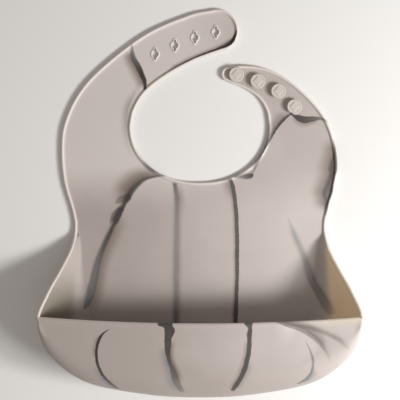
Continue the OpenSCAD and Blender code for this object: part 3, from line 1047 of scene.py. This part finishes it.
def paint_vein(n, base, place, wobble, streaks, weight, vein):
    """The base colour with one vein's side stains and shades and its core painted over it."""
    s, offset, half = vein_field(n, place, wobble, vein)
    ends = n.math("MULTIPLY", n.ramp(s, -0.005, 0.015), n.ramp(s, 1.0, 0.98))
    ends = n.math("MULTIPLY", ends, weight)
    for side, width, tint, strength, start, end in vein.stains_and_shades:
        beyond = n.math("SUBTRACT", n.math("MULTIPLY", offset, float(side)), half)
        mask = n.math("MULTIPLY", n.ramp(beyond, width, 0.0), n.ramp(beyond, -half_of(vein), 0.0))
        window = n.math("MULTIPLY", n.ramp(s, start - 0.06, start + 0.08), n.ramp(s, end + 0.02, end - 0.12))
        mask = n.math("MULTIPLY", n.math("MULTIPLY", mask, window), n.math("MULTIPLY", ends, strength * 0.75))
        base = n.mix(mask, base, srgb(*STAIN_AND_SHADE_TINTS[tint]))
    right, left = vein.blur
    lower = n.math("ADD", offset, half)
    upper = n.math("SUBTRACT", offset, half)
    right_edge = n.ramp(lower, -0.6 * right, 0.5 * right)
    left_edge = n.ramp(upper, 0.6 * left, -0.5 * left)
    core = n.math("MULTIPLY", right_edge, left_edge)
    strength = n.steps(s, vein.strength)
    core = n.math("MULTIPLY", n.math("MULTIPLY", core, strength, clamp=True), ends)
    cool = n.math("ADD", n.steps(s, vein.cool), streaks, clamp=True)
    return n.mix(core, base, n.mix(cool, srgb(*DARK_BROWN), srgb(*DARK_BLUE)))


def half_of(vein):
    """Widest half width of a vein."""
    return max(half for _, _, half in vein.points)


def greige_and_painted_light(n, rest, place, front, pale):
    """Cloudy greige with painted light and shade: painted shade at the lower left, towards the bottom and
    over the front wall; painted light at the lower right and on the left strap.
    """
    low = n.ramp(place[1], 32.0, -12.0)
    # painted shade at the lower left and painted light at the lower right
    painted_sideways_light = n.math("MULTIPLY", n.ramp(place[0], -75.0, 85.0, -1.0, 1.0), low)
    cloud = n.math("MULTIPLY_ADD", n.noise(rest, 0.02, 3.0, 0.55), 0.5, -0.25)
    # painted light on the left strap, where the lamps fall off
    painted_strap_light = n.math("MULTIPLY", n.ramp(place[0], 45.0, -25.0), n.math("SUBTRACT", 1.0, low))
    shade = n.math("MULTIPLY_ADD", painted_strap_light, 0.6, n.math("MULTIPLY_ADD", painted_sideways_light, 0.32, 0.42))
    # painted shade, darker towards the bottom of the front wall
    shade = n.math("SUBTRACT", shade, n.ramp(place[1], -104.0, -140.0, 0.0, 0.4))
    # painted shade over the whole front wall
    shade = n.math("MULTIPLY_ADD", front, -0.17, shade)
    shade = n.math("ADD", shade, cloud, clamp=True)
    base = n.mix(shade, srgb(*DUSKY_AND_SHADED), srgb(*LIGHT_AND_LIT))
    # pale rims, partly their own colour and partly a painted highlight
    return n.mix(pale, base, srgb(*RIM_PALE_AND_HIGHLIGHT))


def satin_finish(n, shader, rest, glow):
    """A fine grain, a soft sheen, and light that comes through the skin where it glows."""
    grain = n.noise(rest, 2.2, 3.0, 0.6)
    n.put(shader.inputs["Roughness"], n.ramp(grain, 0.3, 0.7, 0.5, 0.6))
    bump = n.new("ShaderNodeBump")
    n.put(bump.inputs["Strength"], 0.1)
    n.put(bump.inputs["Distance"], 0.0002)
    n.put(bump.inputs["Height"], grain)
    n.put(shader.inputs["Normal"], bump.outputs[0])
    shader.inputs["Specular IOR Level"].default_value = 0.3
    shader.inputs["Sheen Weight"].default_value = 0.1
    shader.inputs["Sheen Roughness"].default_value = 0.5
    n.put(shader.inputs["Subsurface Weight"], n.ramp(glow, 0.0, 1.0, 0.05, 1.0))
    shader.inputs["Subsurface Radius"].default_value = (1.0, 0.92, 0.82)
    shader.inputs["Subsurface Scale"].default_value = 0.004


def silicone():
    """Greige silicone with a soft satin skin, swirled veins of dark pigment, and painted light and shade."""
    material = bpy.data.materials.new("bib_silicone")
    material.use_nodes = True
    n = Nodes(material.node_tree)
    shader = material.node_tree.nodes["Principled BSDF"]
    rest = n.attribute("rest_co", "Vector")
    front, glow, pale, dull = (n.attribute(name, "Fac") for name in MARKS)
    split = n.new("ShaderNodeSeparateXYZ")
    n.put(split.inputs[0], rest)
    place = (split.outputs["X"], split.outputs["Y"])

    slow = n.math("SUBTRACT", n.noise(rest, 0.06, 1.0), 0.5)
    quick = n.math("SUBTRACT", n.noise(rest, 0.4, 3.0, 0.6), 0.5)
    wobble = n.math("MULTIPLY_ADD", slow, 1.0, n.math("MULTIPLY", quick, 1.1))
    streaks = n.math("MULTIPLY_ADD", n.noise(rest, 0.22, 2.0), 0.6, -0.3)

    base = greige_and_painted_light(n, rest, place, front, pale)
    panel = n.math("SUBTRACT", 1.0, front)
    for veins, weight in ((PANEL_VEINS, panel), (FRONT_VEINS, front)):
        for vein in veins:
            base = paint_vein(n, base, place, wobble, streaks, weight, vein)
    # painted warm glow on the wings, where light comes through the silicone
    base = n.mix(n.math("MULTIPLY", glow, PAINTED_GLOW_TINT), base, srgb(*PAINTED_GLOW_WARM))
    # painted shade, olive, in the deep left corner of the pocket
    base = n.mix(n.math("MULTIPLY", dull, PAINTED_CORNER_SHADE_TINT), base, srgb(*PAINTED_CORNER_SHADE_OLIVE))
    n.put(shader.inputs["Base Color"], base)
    satin_finish(n, shader, rest, glow)
    return material


def paper():
    """Plain pale matt floor."""
    material = bpy.data.materials.new("pale_floor")
    material.use_nodes = True
    n = Nodes(material.node_tree)
    shader = material.node_tree.nodes["Principled BSDF"]
    place = n.new("ShaderNodeTexCoord").outputs["Object"]
    n.put(shader.inputs["Base Color"], n.mix(n.noise(place, 6.0), srgb(236, 235, 233), srgb(240, 239, 237)))
    shader.inputs["Roughness"].default_value = 0.85
    return material


# ---------------------------------------------------------------- pieces
def ride_skin(objects):
    """Joins each piece of skin to its body or its two bodies, and hides the CAD nodes."""
    for name, obj in objects.items():
        zone = name.removesuffix("_skin")
        if zone in ZONES:
            (cx, cy), _, half, first, second = ZONES[zone]
            normal = zone_way(zone) * (half * MM)
            middle = Vector((cx * MM, cy * MM, MID * MM))
            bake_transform(obj, first, second, start=tuple(middle - normal), end=tuple(middle + normal))
        else:
            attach(obj, zone)
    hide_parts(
        "lower_panel", "pocket_bend", "pocket_front", "left_side_wall", "right_side_wall", "mouth_rim",
    )
    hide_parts("chest_panel")
    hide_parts("left_strap_root")
    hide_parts("left_strap_middle", "eyelet_4")
    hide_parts("eyelet_3", "eyelet_2")
    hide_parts("left_strap_tip", "eyelet_1")
    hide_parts("right_strap_root")
    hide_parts("right_strap_middle")
    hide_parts("right_strap_tip")


def make_bib():
    material = silicone()
    bm = skin_mesh(build_skin())
    cut_at_zones(bm)
    objects = split_skin(bm, material)
    bm.free()
    ride_skin(objects)
    for k, place in enumerate(STUDS):
        piece = stud(f"stud_{k + 1}_round", place, material)
        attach(piece, STUD_BODIES[k])
        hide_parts(f"stud_{k + 1}")


# ---------------------------------------------------------------- floor, light and camera
def make_floor():
    bm = bmesh.new()
    bmesh.ops.create_grid(bm, x_segments=8, y_segments=8, size=1.6)
    mesh = bpy.data.meshes.new("floor")
    bm.to_mesh(mesh)
    bm.free()
    mesh.materials.append(paper())
    floor = add_object("floor", mesh)
    floor.location.z = CAD_BOX[0][2] - 0.0003


def area_light(name, direction, distance, size, power, colour):
    light = bpy.data.lights.new(name, "AREA")
    light.shape = "DISK"
    light.size = size
    light.energy = power
    light.color = colour
    obj = add_object(name, light)
    way = Vector(direction).normalized()
    obj.location = way * distance
    obj.rotation_euler = way.to_track_quat("Z", "Y").to_euler()


def make_light():
    """A raking key from the right, a softer high light beside it, and a dim warm surround."""
    area_light("key", (1.4, -0.38, 1.0), 0.9, 0.18, 4.85, (1.0, 1.0, 1.0))
    area_light("high", (1.0, -0.54, 1.0), 0.9, 0.24, 3.5, (1.0, 1.0, 1.0))
    world = bpy.data.worlds.new("studio")
    world.use_nodes = True
    background = world.node_tree.nodes["Background"]
    background.inputs[0].default_value = (1.0, 0.94, 0.88, 1)
    background.inputs[1].default_value = 0.33
    bpy.context.scene.world = world


def make_camera():
    """Straight above the bib, at the height from which the pocket's mouth looks as wide as it does."""
    height = 0.70
    half_view = 0.1508
    data = bpy.data.cameras.new("camera")
    data.sensor_width = 36
    data.lens = data.sensor_width / 2 * height / half_view
    data.clip_start = 0.05
    camera = add_object("camera", data)
    camera.location = (0, 0, height)
    bpy.context.scene.camera = camera


make_bib()
make_floor()
make_light()
make_camera()
bpy.context.scene.view_settings.view_transform = "Standard"
